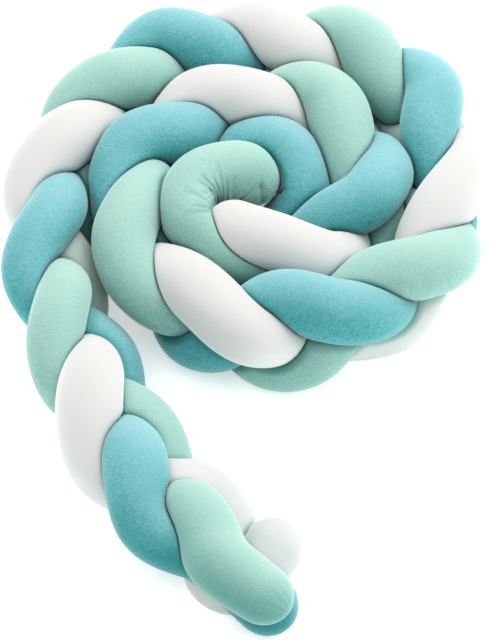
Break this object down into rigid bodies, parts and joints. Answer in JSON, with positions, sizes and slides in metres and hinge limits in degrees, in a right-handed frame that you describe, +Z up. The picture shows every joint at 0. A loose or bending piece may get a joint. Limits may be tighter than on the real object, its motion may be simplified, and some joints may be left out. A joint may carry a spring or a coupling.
{
  "type": "braided crib bumper",
  "caption": "Plaited velvet crib bumper of soft stuffed tubes, coiled on its edge with one loose tail.",
  "frame": {"origin": "centre of the plan's bounding box, on the floor the coil rests on", "axes": "+Z up, -Y towards the loose tail, +X to the right seen from the tail"},
  "size_m": [0.4612, 0.6996, 0.1237],
  "materials": {
    "mint_velvet": "short velvet pile",
    "teal_velvet": "short velvet pile",
    "white_velvet": "short velvet pile"
  },
  "bodies": {
    "root": {"mint_tube": "mint_velvet", "teal_tube": "teal_velvet", "white_tube": "white_velvet"}
  },
  "joints": []
}
